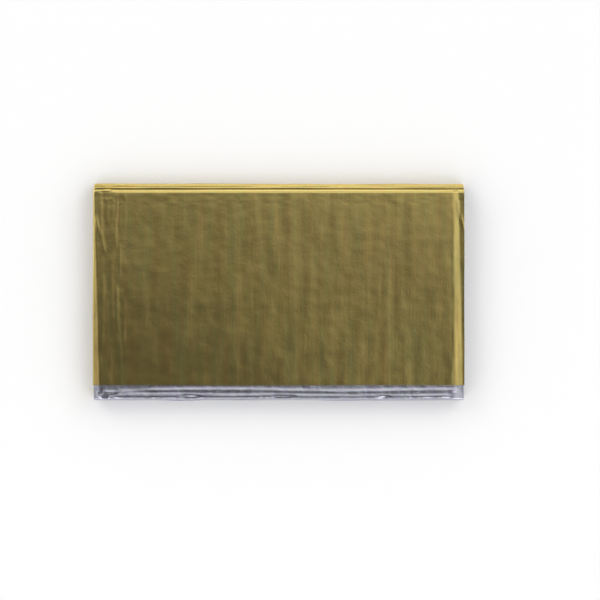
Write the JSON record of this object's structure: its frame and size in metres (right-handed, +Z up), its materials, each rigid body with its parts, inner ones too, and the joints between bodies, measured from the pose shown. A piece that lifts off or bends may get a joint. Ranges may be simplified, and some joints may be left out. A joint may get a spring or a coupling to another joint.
{
  "type": "emergency foil blanket",
  "caption": "Rescue blanket of gold and silver metallised film, folded flat into a rectangular packet-sized stack.",
  "frame": {"origin": "on the surface the folded blanket lies on, under the middle of the stack", "axes": "+X along the length of the folds, +Y towards the long side whose folds show gold, +Z up from the surface"},
  "size_m": [0.178, 0.1039, 0.0123],
  "materials": {
    "metallised_film": "polyester film with a vapour-deposited metal layer, mirror bright, lacquered gold on one side and silver on the other"
  },
  "bodies": {
    "root": {"foil_sheet": "metallised_film"}
  },
  "joints": []
}
